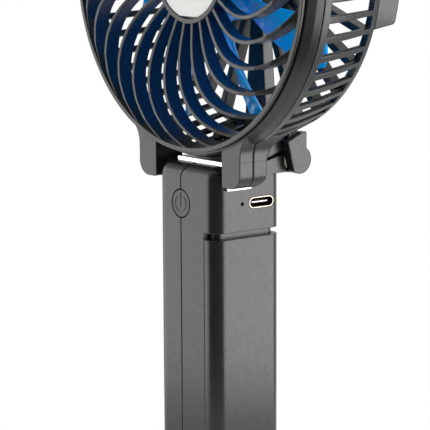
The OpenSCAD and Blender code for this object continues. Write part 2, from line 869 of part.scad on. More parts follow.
module front_grille() {
    lip_l = 0.9;
    groove_end = 1.3;
    groove_r = lip_r - 0.4;
    band_r = lip_r + 0.5;
    rib_back = rib_set + rib_depth;
    color([0.42, 0.42, 0.4]) at_head() {
        turned([
            [lip_in, 0], [lip_r, 0], [lip_r, lip_l], [groove_r, lip_l], [groove_r, groove_end],
            [band_r, groove_end], [(band_r + seam_r) / 2 + 0.25, (groove_end + seam_y) / 2],
            [seam_r, seam_y - seam_line], [seam_r - seam_line_depth, seam_y - seam_line],
            [seam_r - seam_line_depth, seam_y], [lip_in + spigot_wall, seam_y],
            [lip_in + spigot_wall, seam_y + spigot_depth], [lip_in, seam_y + spigot_depth]
        ]);
        ears(ear_front, seam_y - seam_line);
        ears(seam_y - seam_line, seam_y, seam_line_depth);
        intersection() {
            slab_y(-rib_bulge, rib_back + rib_hub_y)
                for (i = [0:rib_count - 1]) rotate(rib_phase + i * 360 / rib_count) rib_outline();
            rib_dome();
        }
        difference() {
            rod_y(hub_ring_front, rib_back, hub_ring_r);
            rod_y(0, badge_front + badge_t, badge_r + part_gap);
            rod_y(badge_front + badge_t + 1.2, rib_back + over, hub_ring_r - 1.6);
        }
    }
}

module hub_badge() {
    flat_z = -sqrt(pow(badge_r, 2) - pow(badge_flat_half, 2));
    color([0.86, 0.86, 0.83]) at_head() slab_y(badge_front, badge_front + badge_t) intersection() {
        circle(badge_r);
        translate([-badge_r, flat_z]) square([2 * badge_r, 3 * badge_r]);
    }
}

module housing_ring() {
    seat_in = lip_in + spigot_wall + part_gap;
    spigot_end = seam_y + spigot_depth + part_gap;
    thin_from = slot_start - 0.5;
    thin_to = slot_end + 0.5;
    difference() {
        turned(concat(
            [for (i = [0:housing_steps]) let (y = housing_y(i, seam_y, rear_y)) [housing_r(y), y]],
            [for (y = [rear_y, thin_to]) [housing_r(y) - housing_wall, y]],
            [for (i = [housing_steps:-1:0]) let (y = housing_y(i, thin_from, thin_to))
                [housing_r(y) - slat_t, y]],
            [[housing_r(thin_from) - housing_wall, thin_from]],
            [[housing_r(thin_from) - housing_wall, spigot_end]],
            [[seat_in, spigot_end], [seat_in, seam_y]]
        ));
        for (i = [0:slat_count - 1]) rotate([0, -slot_first - i * 360 / slat_count, 0])
            translate([-slot_w / 2, slot_start, -seam_r - over])
                cube([slot_w, slot_end - slot_start, seam_r - rear_r + housing_wall + 4]);
    }
}

module rear_spokes() {
    outer = rear_r - 1;
    inner = seat_r - 1;
    pitch = (180 - spoke_first) / spoke_steps;
    slab_y(spoke_front, spoke_front + spoke_depth) {
        for (i = [0:2 * spoke_steps]) rotate(spoke_first + i * pitch)
            translate([-spoke_w / 2, -outer]) square([spoke_w, outer - inner]);
        polygon([[-bar_in, -inner], [bar_in, -inner], [bar_out, -outer], [-bar_out, -outer]]);
    }
}

// Side view of a foot, which narrows to its rear end
module foot_outline() {
    corner_r = 1;
    slope = atan2(foot_slant, foot_l);
    centre = [foot_l - corner_r, foot_half - (corner_r + (foot_l - corner_r) * sin(slope)) / cos(slope)];
    edge = concat([[-over, foot_half], [0, foot_half]],
        [for (i = [0:4]) let (a = blend(slope, 90, i / 4)) centre + corner_r * [sin(a), cos(a)]]);
    polygon(concat(edge, [for (i = [len(edge) - 1:-1:0]) [edge[i][0], -edge[i][1]]]));
}

module rear_feet() {
    foot_end = rear_y + foot_l;
    color([0.3, 0.31, 0.32]) at_head() intersection() {
        difference() {
            rod_y(rear_y, foot_end + over, rear_r);
            rod_y(rear_y - over, foot_end + 2 * over, rear_r - foot_t);
        }
        slab_x(-seam_r, seam_r) translate([rear_y, 0]) foot_outline();
    }
}

// The bracket over the barrel and the two cheeks beside it, measured from the head's middle
module hinge_bracket() {
    y = head_hinge_y;
    z = head_hinge_z;
    clear_r = barrel_r + bracket_gap;
    // The bracket's end inside the ring
    inner_y = rear_y - 1.2;
    inner_z = -rear_r + 9;
    difference() {
        union() {
            slab_x(-barrel_half, barrel_half) polygon([
                [y - 10.4, z + 1], [y - 4.2, z + 2.8], [y, z + 3], [y + 2.3, z + 3],
                [y + 2.3, z + 7.9], [inner_y, z + 8.4], [inner_y, inner_z],
                [y - 6.5, inner_z], [y - 8, z + 5.85]
            ]);
            for (side = [0, 1]) mirror([side, 0, 0]) slab_x(barrel_half - over, cheek_in + over) polygon([
                [y - 3.2, z + 4.4], [y, z + 4.4], [y + 2.3, z + 4.4], [y + 2.3, z + 7.9],
                [inner_y, z + 8.4], [inner_y, inner_z], [y, inner_z], [y - 3.2, z + 6.4]
            ]);
        }
        translate([0, y, z]) rod_x(-seam_r, seam_r, clear_r);
        turned(concat(
            [[0, 0], [seam_r - 0.4, 0]],
            [for (i = [0:housing_steps]) let (d = housing_y(i, seam_y, rear_y)) [housing_r(d) - 0.4, d]],
            [[0, rear_y]]
        ));
    }
    for (side = [0, 1]) mirror([side, 0, 0]) difference() {
        slab_x(cheek_in, cheek_out) {
            intersection() {
                translate([y, z]) circle(barrel_r);
                polygon([
                    [y - 1.98, z - barrel_r - over], [y - 4.84, z + barrel_r + over],
                    [y + barrel_r + over, z + barrel_r + over], [y + barrel_r + over, z - barrel_r - over]
                ]);
            }
            polygon([
                [y - 3.27, z], [y - 4.84, z + 5.7], [y + 0.7, z + 8.15], [y + 2.1, z + 8.3],
                [y + 2.3, z + 7.9], [y + 2.3, z], [y, z]
            ]);
        }
        translate([0, y, z]) rod_x(0, pin_half, pin_r + fit_gap);
    }
}

module rear_housing() {
    lead_w = 3.2;
    lead_d = 1.5;
    color([0.3, 0.31, 0.32]) at_head() {
        housing_ring();
        ears(seam_y, ear_depth + ear_flare_r / 2);
        difference() {
            union() {
                rear_spokes();
                rod_y(seat_front, seat_end, seat_r);
            }
            rod_y(seat_front - over, motor_back, motor_r + fit_gap);
            rod_y(motor_back, seat_end + over, bearing_r + 1);
            rod_y(motor_back + seat_back_t, seat_end + over, seat_r - cover_seat);
            for (side = [-1, 1]) translate([side * motor_screw_ring, 0, 0])
                rod_y(motor_back - over, seat_end, screw_hole_r);
            // Channel for the leads in the wide bar
            translate([-lead_w / 2, seat_end - lead_d, 3 - rear_r])
                cube([lead_w, lead_d + over, rear_r - 8]);
        }
        hinge_bracket();
    }
}

module hinge_pin() {
    color([0.7, 0.7, 0.72]) translate([0, hinge_y, hinge_z]) rod_x(-pin_half + 0.1, pin_half - 0.1, pin_r);
}

module ear_screws() {
    color([0.62, 0.63, 0.65]) at_head() for (side = [-1, 1])
        translate([side * ear_mid, ear_depth - part_gap, ear_screw_z])
            rotate([0, 0, -90]) screw(ear_head_h, ear_screw_l);
}

module motor_can() {
    color([0.7, 0.71, 0.73]) at_head() difference() {
        union() {
            rod_y(motor_front, motor_back - bell_t, motor_r);
            rod_y(motor_front - bearing_h, motor_front + 0.1, bearing_r);
        }
        rod_y(motor_front + can_wall, motor_back, motor_r - can_wall);
        rod_y(motor_front - 2 * bearing_h, motor_back, shaft_r + shaft_gap);
    }
}

module motor_magnets() {
    magnet_space = 3;
    color([0.3, 0.3, 0.3]) at_head() difference() {
        rod_y(motor_front + can_wall + 1, motor_back - bell_t - 1.2, motor_r - can_wall - fit_gap);
        rod_y(motor_front, motor_back, motor_r - can_wall - magnet_t);
        translate([-motor_r, motor_front, -magnet_space / 2]) cube([2 * motor_r, motor_l, magnet_space]);
    }
}

module motor_end_bell() {
    color([0.15, 0.15, 0.16]) at_head() difference() {
        rod_y(motor_back - bell_t, motor_back, motor_r);
        rod_y(motor_front, shaft_end + part_gap, shaft_r + shaft_gap);
        for (side = [-1, 1]) translate([side * motor_screw_ring, 0, 0])
            rod_y(motor_front, motor_back + over, screw_r + thread_gap);
    }
}

module motor_screws() {
    head_h = 0.9;
    head_r = 1.8;
    head_y = motor_back + seat_back_t;
    color([0.62, 0.63, 0.65]) at_head() for (side = [-1, 1]) translate([side * motor_screw_ring, 0, 0]) {
        rod_y(motor_back - bell_t + part_gap, head_y + part_gap, screw_r);
        rod_y(head_y, head_y + head_h, head_r);
    }
}

module motor_cover() {
    rim_h = 0.9;
    rim_w = 1;
    lead_way = 4;
    color([0.28, 0.29, 0.3]) at_head() {
        rod_y(seat_end, seat_end + motor_cover_t, seat_r);
        difference() {
            rod_y(seat_end - rim_h, seat_end + part_gap, seat_r - cover_seat - fit_gap);
            rod_y(seat_end - over, seat_end, seat_r - cover_seat - rim_w);
            translate([-lead_way / 2, seat_end - 2 * over, -seat_r]) cube([lead_way, 2 * over, seat_r]);
        }
    }
}

module motor_leads() {
    lead_r = 0.6;
    lead_y = seat_end - 0.8;
    lead_low = foot_t + 2 - rear_r;
    lead_top = -7.5;
    color([0.7, 0.12, 0.1]) at_head() for (side = [-1, 1])
        translate([side * 1.25 * lead_r, lead_y, lead_low]) cylinder(h = lead_top - lead_low, r = lead_r);
}

// The impeller's blades: sections from hub to tip, each wrapped round its own radius
blade_rings = 9;
blade_points = 9;
function blade_u(i) = i / blade_rings;
function blade_r(i) = blend(hub_r - hub_wall / 2, tip_r, blade_u(i));
tip_narrowing = 0.26;
function blade_chord(u) = blend(chord_root, chord_tip, sin(90 * u)) * (1 - tip_narrowing * pow(u, 9));
function blade_pitch(u) = blend(pitch_root, pitch_tip, pow(u, 0.8));
// One point of a section: side is 1 on the front face and -1 on the rear face
function blade_point(i, j, side) = let (
    u = blade_u(i),
    r = blade_r(i),
    t = j / (blade_points - 1) - 0.5,
    pitch = blade_pitch(u),
    half_t = blade_t * blend(1, 0.6, u) / 2 * sqrt(max(0, 1 - 3.4 * t * t)) + 0.12,
    up = blade_camber * (1 - 4 * t * t) + side * half_t,
    along = blade_chord(u) * t,
    angle = blade_sweep * u + (along * cos(pitch) + up * sin(pitch)) / r * 180 / PI,
    y = blade_mid + blade_rake * u - along * sin(pitch) + up * cos(pitch) - blade_camber / 2
) [r * sin(angle), y, -r * cos(angle)];
function blade_ring(i) = concat(
    [for (j = [0:blade_points - 1]) blade_point(i, j, 1)],
    [for (j = [blade_points - 1:-1:0]) blade_point(i, j, -1)]
);
module blade() {
    n = 2 * blade_points;
    points = [for (i = [0:blade_rings]) each blade_ring(i)];
    sides = [for (i = [0:blade_rings - 1], j = [0:n - 1], half = [0, 1])
        let (a = i * n + j, b = i * n + (j + 1) % n)
        half == 0 ? [a, a + n, b] : [b, a + n, b + n]];
    function cap(first) = [for (j = [0:blade_points - 2], half = [0, 1])
        let (a = first + j, b = first + n - 1 - j)
        half == 0 ? [a, a + 1, b] : [a + 1, b - 1, b]];
    function flip(faces) = [for (f = faces) [f[0], f[2], f[1]]];
    polyhedron(points, concat(sides, cap(0), flip(cap(blade_rings * n))));
}

module impeller() {
    hub_back = hub_front + hub_depth;
    color([0.05, 0.5, 0.9]) at_head() {
        difference() {
            union() {
                rod_y(hub_front, hub_back, hub_r);
                for (i = [0:blade_count - 1]) rotate([0, -blade_phase - i * 360 / blade_count, 0]) blade();
            }
            rod_y(hub_front + hub_wall, hub_back + over, hub_r - hub_wall);
        }
        difference() {
            rod_y(hub_front + 0.1, boss_end, hub_boss_r);
            rod_y(shaft_front - part_gap, boss_end + over, shaft_r + fit_gap);
        }
    }
}

module motor_shaft() {
    color([0.75, 0.75, 0.77]) at_head() rod_y(shaft_front, shaft_end, shaft_r);
}

module motor_armature() {
    slot = [1.6, armature_back - armature_front + 2 * over, 6];
    slot_low = armature_r - 4.5;
    color([0.6, 0.35, 0.2]) at_head() difference() {
        rod_y(armature_front, armature_back, armature_r);
        rod_y(armature_front - over, armature_back + over, shaft_r + fit_gap);
        for (i = [0:2]) rotate([0, i * 120, 0])
            translate([-slot[0] / 2, armature_front - over, slot_low]) cube(slot);
    }
}

left_shell();
right_shell();
battery_cover();
shell_screws();
latch_strap();
friction_washers();
battery_cell();
battery_spring();
battery_plate();
main_board();
board_parts();
tact_switch();
power_button();
charge_light();
usb_port();
usb_tongue();
front_grille();
hub_badge();
rear_housing();
rear_feet();
hinge_pin();
ear_screws();
motor_can();
motor_magnets();
motor_end_bell();
motor_screws();
motor_cover();
motor_leads();
impeller();
motor_shaft();
motor_armature();
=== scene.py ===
import math

import bmesh
import bpy
from mathutils import Matrix, Vector


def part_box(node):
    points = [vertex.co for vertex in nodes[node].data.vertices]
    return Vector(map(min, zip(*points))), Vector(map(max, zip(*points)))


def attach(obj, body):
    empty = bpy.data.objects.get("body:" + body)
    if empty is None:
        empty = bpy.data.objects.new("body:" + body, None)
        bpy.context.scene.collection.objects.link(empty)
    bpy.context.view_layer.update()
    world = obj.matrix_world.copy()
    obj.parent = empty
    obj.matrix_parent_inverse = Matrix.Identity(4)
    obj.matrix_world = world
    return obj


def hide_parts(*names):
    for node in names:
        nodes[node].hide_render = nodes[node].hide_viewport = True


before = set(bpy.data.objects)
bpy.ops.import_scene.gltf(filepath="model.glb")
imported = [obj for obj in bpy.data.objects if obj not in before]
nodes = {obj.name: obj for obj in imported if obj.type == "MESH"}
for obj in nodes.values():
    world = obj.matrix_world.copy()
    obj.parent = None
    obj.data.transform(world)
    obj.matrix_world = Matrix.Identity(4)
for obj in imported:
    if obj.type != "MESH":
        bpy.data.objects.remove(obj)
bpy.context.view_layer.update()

scene = bpy.context.scene
scene.view_settings.view_transform = "Standard"
print("fan: frame loaded,", len(nodes), "nodes")

# The middle of the fan's head, in millimetres: the lip's front edge on the rotor's axis
headMiddle = (0.0, -13.05, 160.0)

# The camera's place in metres and its angles, matched to the photo
cameraSettings = {
    "place": (0.48261, -0.38715, 0.18782),
    "azimuth": 51.383,
    "elevation": 9.258,
    "roll": -0.266,
    "lens": 176.48,
    "sensor": 36,
    "nearClip": 0.01,
}


def makeCamera(s):
    az, el, roll = (math.radians(s[k]) for k in ("azimuth", "elevation", "roll"))
    right = Vector((math.cos(az), math.sin(az), 0))
    back = Vector((math.sin(az) * math.cos(el), -math.cos(az) * math.cos(el), math.sin(el)))
    up = back.cross(right)
    tiltedRight = right * math.cos(roll) + up * math.sin(roll)
    tiltedUp = up * math.cos(roll) - right * math.sin(roll)
    turn = Matrix((tiltedRight, tiltedUp, back)).transposed().to_4x4()
    data = bpy.data.cameras.new("camera")
    data.sensor_fit = "HORIZONTAL"
    data.sensor_width = s["sensor"]
    data.lens = s["lens"]
    data.clip_start = s["nearClip"]
    cam = bpy.data.objects.new("camera", data)
    cam.matrix_world = Matrix.Translation(s["place"]) @ turn
    scene.collection.objects.link(cam)
    scene.camera = cam


makeCamera(cameraSettings)
print("fan: camera made")


def startMaterial(name):
    material = bpy.data.materials.new(name)
    material.use_nodes = True
    tree = material.node_tree
    tree.nodes.clear()
    output = tree.nodes.new("ShaderNodeOutputMaterial")
    shader = tree.nodes.new("ShaderNodeBsdfPrincipled")
    tree.links.new(shader.outputs[0], output.inputs[0])
    return material, tree, shader


def put(tree, socket, value):
    if isinstance(value, bpy.types.NodeSocket):
        tree.links.new(value, socket)
    else:
        socket.default_value = value


def mathNode(tree, operation, *values):
    node = tree.nodes.new("ShaderNodeMath")
    node.operation = operation
    for socket, value in zip(node.inputs, values):
        put(tree, socket, value)
    return node.outputs[0]


def vectorNode(tree, operation, *values):
    node = tree.nodes.new("ShaderNodeVectorMath")
    node.operation = operation
    for socket, value in zip(node.inputs, values):
        put(tree, socket, value)
    return node.outputs["Value"]


def rangeNode(tree, value, low, high, outLow=0.0, outHigh=1.0):
    node = tree.nodes.new("ShaderNodeMapRange")
    node.interpolation_type = "SMOOTHSTEP"
    for socket, v in zip(node.inputs, (value, low, high, outLow, outHigh)):
        put(tree, socket, v)
    return node.outputs[0]


def mixColour(tree, amount, first, second):
    node = tree.nodes.new("ShaderNodeMix")
    node.data_type = "RGBA"
    put(tree, node.inputs[0], amount)
    put(tree, node.inputs[6], first)
    put(tree, node.inputs[7], second)
    return node.outputs[2]


def splitNode(tree, vector):
    node = tree.nodes.new("ShaderNodeSeparateXYZ")
    put(tree, node.inputs[0], vector)
    return node.outputs


def placeOf(tree, stretch=(1, 1, 1)):
    coords = tree.nodes.new("ShaderNodeTexCoord").outputs["Object"]
    if stretch == (1, 1, 1):
        return coords
    mapping = tree.nodes.new("ShaderNodeMapping")
    put(tree, mapping.inputs["Vector"], coords)
    mapping.inputs["Scale"].default_value = stretch
    return mapping.outputs[0]


# Noise whose features are about size metres across
def noiseNode(tree, size, detail=3.0, stretch=(1, 1, 1), roughness=0.5):
    node = tree.nodes.new("ShaderNodeTexNoise")
    put(tree, node.inputs["Vector"], placeOf(tree, stretch))
    node.inputs["Scale"].default_value = 1 / size
    node.inputs["Detail"].default_value = detail
    node.inputs["Roughness"].default_value = roughness
    return node.outputs[0]


def roundedNormal(tree, radius):
    node = tree.nodes.new("ShaderNodeBevel")
    node.samples = 6
    node.inputs["Radius"].default_value = radius
    return node.outputs[0]


def bumpNode(tree, height, distance, normal, strength=1.0):
    node = tree.nodes.new("ShaderNodeBump")
    node.inputs["Strength"].default_value = strength
    node.inputs["Distance"].default_value = distance
    put(tree, node.inputs["Height"], height)
    put(tree, node.inputs["Normal"], normal)
    return node.outputs[0]


def shade(colour, factor=1.0):
    return (colour[0] * factor, colour[1] * factor, colour[2] * factor, 1.0)


# How edges wear: from which bend of the normal on, and in which patches of the noise
edgeWear = {"bend": (0.995, 0.85), "patch": (0.35, 0.7), "least": 0.25}


# 1 along the edges that a hand rubs, 0 on the flats
def wornEdges(tree, normal, breakUp, s=edgeWear):
    flat = tree.nodes.new("ShaderNodeNewGeometry").outputs["Normal"]
    edge = rangeNode(tree, vectorNode(tree, "DOT_PRODUCT", normal, flat), *s["bend"])
    return mathNode(tree, "MULTIPLY", edge, rangeNode(tree, breakUp, *s["patch"], s["least"], 1.0))


# Colour that drifts between a darker and a lighter tone of the written one
def driftingColour(tree, s, noise, limits, tones):
    return mixColour(tree, rangeNode(tree, noise, *limits),
                     shade(s["colour"], tones[0]), shade(s["colour"], tones[1]))


# Roughness that drifts with the noise from less below the written value to more above it
def driftingRoughness(tree, s, noise, limits, less, more):
    return rangeNode(tree, noise, *limits, s["roughness"] - less, s["roughness"] + more)


# Hard plastics, in linear colour and metres; grain is the width of the moulded texture, depth its
# height, edge the rounding of the edges and cloud the width of the colour's drift
plasticFinishes = {
    "handlePlastic": {
        "colour": (0.012, 0.0125, 0.012), "roughness": 0.27,
        "grain": 0.00022, "depth": 0.000012, "edge": 0.0004, "cloud": 0.009},
    "grillePlastic": {
        "colour": (0.011, 0.0115, 0.011), "roughness": 0.29,
        "grain": 0.00022, "depth": 0.00001, "edge": 0.0005, "cloud": 0.009,
        # The last colour is a painted reflection: the blades' blue, painted on the ribs' side
        # walls
        "paintedBladeReflection": (0.002, 0.017, 0.066)},
    "housingPlastic": {
        "colour": (0.011, 0.0115, 0.012), "roughness": 0.29,
        "grain": 0.00022, "depth": 0.00001, "edge": 0.0007, "cloud": 0.009},
    "buttonPlastic": {
        "colour": (0.012, 0.0125, 0.012), "roughness": 0.32,
        "grain": 0.00018, "depth": 0.00001, "edge": 0.00035, "cloud": 0.009},
    "darkPlastic": {
        "colour": (0.012, 0.012, 0.013), "roughness": 0.42,
        "grain": 0.0003, "depth": 0.00001, "edge": 0.00035, "cloud": 0.009},
    "badgePlastic": {
        "colour": (0.60, 0.61, 0.575), "roughness": 0.46,
        "grain": 0.0002, "depth": 0.000003, "edge": 0.00035, "cloud": 0.03},
    "washerPlastic": {
        "colour": (0.55, 0.52, 0.42), "roughness": 0.45,
        "grain": 0.0003, "depth": 0.00001, "edge": 0.00035, "cloud": 0.009},
}

# What all the hard plastics share; paler holds the worn tone of dark and of pale plastics
plasticSurface = {
    "handling": 0.0022, "tones": (0.93, 1.07), "paler": (1.6, 1.08), "paleFrom": 0.3,
    "wornColour": 0.45, "wornGloss": 0.07, "ior": 1.5,
}

# Where the painted blue reflection on the ribs lies: how far a face turns from the front, and the
# radius in metres
paintedReflectionPlace = {"turn": (0.3, 0.6), "radius": (0.0475, 0.0505)}


# 1 on the ribs' side walls, where the blades' blue reflection is painted, and 0 on front faces and
# further out
def paintedReflectionOnRibs(tree, s=paintedReflectionPlace):
    normal = splitNode(tree, tree.nodes.new("ShaderNodeTexCoord").outputs["Normal"])
    wall = rangeNode(tree, mathNode(tree, "ABSOLUTE", normal["Y"]), *s["turn"], 1.0, 0.0)
    place = splitNode(tree, placeOf(tree))
    high = mathNode(tree, "SUBTRACT", place["Z"], headMiddle[2] / 1000)
    squares = (mathNode(tree, "MULTIPLY", v, v) for v in (high, place["X"]))
    radius = mathNode(tree, "SQRT", mathNode(tree, "ADD", *squares))
    return mathNode(tree, "MULTIPLY", wall, rangeNode(tree, radius, *s["radius"], 1.0, 0.0))


def mouldedPlastic(name, s):
    material, tree, shader = startMaterial(name)
    shared = plasticSurface
    grain = noiseNode(tree, s["grain"], 2.0, roughness=0.6)
    cloud = noiseNode(tree, s["cloud"], 4.0)
    handling = noiseNode(tree, shared["handling"], 5.0, roughness=0.65)
    normal = roundedNormal(tree, s["edge"])
    wear = wornEdges(tree, normal, handling)
    tone = driftingColour(tree, s, cloud, (0.3, 0.7), shared["tones"])
    # Painted reflection: the blades' blue laid into the colour of the ribs' side walls
    if "paintedBladeReflection" in s:
        tone = mixColour(tree, paintedReflectionOnRibs(tree), tone, shade(s["paintedBladeReflection"]))
    paler = shared["paler"][0 if s["colour"][0] < shared["paleFrom"] else 1]
    amount = mathNode(tree, "MULTIPLY", wear, shared["wornColour"])
    put(tree, shader.inputs["Base Color"],
        mixColour(tree, amount, tone, shade(s["colour"], paler)))
    smear = driftingRoughness(tree, s, handling, (0.3, 0.75), 0.03, 0.05)
    gloss = mathNode(tree, "MULTIPLY", wear, shared["wornGloss"])
    put(tree, shader.inputs["Roughness"], mathNode(tree, "SUBTRACT", smear, gloss))
    put(tree, shader.inputs["Normal"], bumpNode(tree, grain, s["depth"], normal))
    shader.inputs["IOR"].default_value = shared["ior"]
    return material


# The impeller's blue plastic
bladeFinish = {
    "colour": (0.0, 0.4, 1.0), "pale": (0.04, 0.6, 1.0), "roughness": 0.16, "ior": 1.28,
    "flow": 0.03, "ripple": 0.006, "depth": 0.00003, "edge": 0.0003,
    "tones": (0.95, 1.06), "wornColour": 0.35,
}


def bladePlastic(name, s):
    material, tree, shader = startMaterial(name)
    flow = noiseNode(tree, s["flow"], 3.0, (1, 1.6, 1))
    ripple = noiseNode(tree, s["ripple"], 2.0)
    normal = roundedNormal(tree, s["edge"])
    tone = driftingColour(tree, s, flow, (0.3, 0.7), s["tones"])
    amount = mathNode(tree, "MULTIPLY", wornEdges(tree, normal, ripple), s["wornColour"])
    put(tree, shader.inputs["Base Color"], mixColour(tree, amount, tone, shade(s["pale"])))
    put(tree, shader.inputs["Roughness"],
        driftingRoughness(tree, s, ripple, (0.3, 0.7), 0.03, 0.06))
    put(tree, shader.inputs["Normal"], bumpNode(tree, ripple, s["depth"], normal, 0.5))
    shader.inputs["IOR"].default_value = s["ior"]
    return material


# Metals; line is the width of the brushed lines, drawn out along the axis of the least stretch
metalFinishes = {
    "strapSteel": {
        "colour": (0.76, 0.76, 0.73), "roughness": 0.38, "stretch": (1, 12, 12), "line": 0.004},
    "brightSteel": {
        "colour": (0.56, 0.57, 0.58), "roughness": 0.3, "stretch": (1, 1, 1), "line": 0.0004},
    "socketSteel": {
        "colour": (0.5, 0.47, 0.39), "roughness": 0.26, "stretch": (8, 1, 1), "line": 0.0015},
    "plateSteel": {
        "colour": (0.66, 0.67, 0.74), "roughness": 0.3, "stretch": (1, 1, 4), "line": 0.0006},
    "contactMetal": {
        "colour": (0.72, 0.55, 0.26), "roughness": 0.28, "stretch": (1, 6, 1), "line": 0.002},
    "canSteel": {
        "colour": (0.5, 0.51, 0.53), "roughness": 0.32, "stretch": (1, 10, 1), "line": 0.003},
}

# What all the metals share
metalSurface = {
    "stain": 0.004, "tones": (0.9, 1.05), "paler": 1.15, "wornColour": 0.5,
    "depth": 0.00001, "edge": 0.0002,
}


def brushedMetal(name, s):
    material, tree, shader = startMaterial(name)
    shared = metalSurface
    lines = noiseNode(tree, s["line"], 4.0, s["stretch"])
    stain = noiseNode(tree, shared["stain"], 4.0)
    normal = roundedNormal(tree, shared["edge"])
    tone = driftingColour(tree, s, stain, (0.3, 0.7), shared["tones"])
    amount = mathNode(tree, "MULTIPLY", wornEdges(tree, normal, stain), shared["wornColour"])
    put(tree, shader.inputs["Base Color"],
        mixColour(tree, amount, tone, shade(s["colour"], shared["paler"])))
    put(tree, shader.inputs["Roughness"],
        driftingRoughness(tree, s, lines, (0.25, 0.75), 0.06, 0.08))
    put(tree, shader.inputs["Normal"], bumpNode(tree, lines, shared["depth"], normal, 0.6))
    shader.inputs["Metallic"].default_value = 1.0
    return material


# Small inner parts; size is the width of their spots
innerFinishes = {
    "cellWrap": {
        "colour": (0.05, 0.32, 0.24), "second": (0.04, 0.26, 0.2), "roughness": 0.3, "size": 0.01},
    "boardLaminate": {
        "colour": (0.01, 0.085, 0.04), "second": (0.02, 0.13, 0.06),
        "roughness": 0.35, "size": 0.0012},
    "magnetFerrite": {
        "colour": (0.06, 0.06, 0.062), "second": (0.09, 0.09, 0.09),
        "roughness": 0.62, "size": 0.0006},
    "windingCore": {
        "colour": (0.45, 0.16, 0.05), "second": (0.62, 0.26, 0.1),
        "roughness": 0.33, "size": 0.0007},
    "leadWire": {
        "colour": (0.45, 0.015, 0.01), "second": (0.55, 0.03, 0.02),
        "roughness": 0.36, "size": 0.003},
    "lightLens": {
        "colour": (0.006, 0.006, 0.007), "second": (0.012, 0.012, 0.013),
        "roughness": 0.12, "size": 0.0005},
}

# What the inner parts share; finer is how many times finer their grain is than their spots
innerSurface = {"finer": 6, "depth": 0.00002, "edge": 0.0002}


def plainInner(name, s):
    material, tree, shader = startMaterial(name)
    shared = innerSurface
    spots = noiseNode(tree, s["size"], 4.0)
    fine = noiseNode(tree, s["size"] / shared["finer"], 3.0)
    normal = roundedNormal(tree, shared["edge"])
    tone = mixColour(tree, rangeNode(tree, spots, 0.35, 0.65),
                     shade(s["colour"]), shade(s["second"]))
    put(tree, shader.inputs["Base Color"], tone)
    put(tree, shader.inputs["Roughness"],
        driftingRoughness(tree, s, fine, (0.3, 0.7), 0.05, 0.08))
    put(tree, shader.inputs["Normal"], bumpNode(tree, fine, shared["depth"], normal, 0.6))
    return material


finishes = {"bladePlastic": bladePlastic("bladePlastic", bladeFinish)}
for makeFinish, table in (
        (mouldedPlastic, plasticFinishes), (brushedMetal, metalFinishes),
        (plainInner, innerFinishes)):
    for key, s in table.items():
        finishes[key] = makeFinish(key, s)

nodesOfFinish = {
    "handlePlastic": ("left_shell", "right_shell", "battery_cover"),
    "grillePlastic": ("front_grille",),
    "housingPlastic": ("rear_housing", "rear_feet", "motor_cover"),
    "buttonPlastic": ("power_button",),
    "darkPlastic": ("usb_tongue", "board_parts", "tact_switch", "motor_end_bell"),
    "badgePlastic": ("hub_badge",),
    "washerPlastic": ("friction_washers",),
    "bladePlastic": ("impeller",),
    "strapSteel": ("latch_strap",),
    "brightSteel": ("shell_screws", "ear_screws", "motor_screws", "hinge_pin", "motor_shaft"),
    "socketSteel": ("usb_port",),
    "contactMetal": ("battery_spring", "battery_plate"),
    "canSteel": ("motor_can",),
    "cellWrap": ("battery_cell",),
    "boardLaminate": ("main_board",),
    "magnetFerrite": ("motor_magnets",),
    "windingCore": ("motor_armature",),
    "leadWire": ("motor_leads",),
    "lightLens": ("charge_light",),
}
for key, names in nodesOfFinish.items():
    for nodeName in names:
        materials = nodes[nodeName].data.materials
        for i in range(len(materials)):
            materials[i] = finishes[key]
print("fan: finishes on", sum(len(names) for names in nodesOfFinish.values()), "nodes")


def addMesh(name, points, faces, material, body, smooth=True):
    mesh = bpy.data.meshes.new(name)
    mesh.from_pydata(points, [], faces)
    mesh.validate()
    bm = bmesh.new()
    bm.from_mesh(mesh)
    bmesh.ops.recalc_face_normals(bm, faces=bm.faces)
    bm.to_mesh(mesh)
    bm.free()
    mesh.materials.append(material)
    if smooth:
        mesh.shade_smooth()
    obj = bpy.data.objects.new(name, mesh)
    scene.collection.objects.link(obj)
    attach(obj, body)
    return obj


# The impeller: smooth twisted blades on a cup, in millimetres and degrees, from the lip backwards
impellerShape = {
    "blades": 8, "tip": 46.5, "hub": 15.5, "wall": 1.4, "front": 6.4, "depth": 13.0, "mid": 14.0,
    "chord": (17.0, 24.0), "pitch": (48.0, 32.0), "thickness": 1.2, "camber": 1.6, "sweep": 15.0,
    "rake": 3.0, "phase": 4.0, "narrowing": 0.26, "narrowPower": 9, "pitchPower": 0.8,
    "tipThickness": 0.6, "edgeHalf": 0.12, "edgeRound": 3.4, "fillet": 0.7, "filletWidth": 1.1,
    "rings": 30, "across": 16,
    "rimRound": 1.2, "rimSteps": 6, "innerRound": 0.8, "bossRadius": 3.4, "bossEnd": 14.2,
    "boreRadius": 1.02, "boreFloor": 1.7, "turns": 96, "smoothBelow": 40,
}


def mm(x, y, z):
    return tuple((v + middle) / 1000 for v, middle in zip((x, y, z), headMiddle))


def blend(a, b, u):
    return a + (b - a) * u


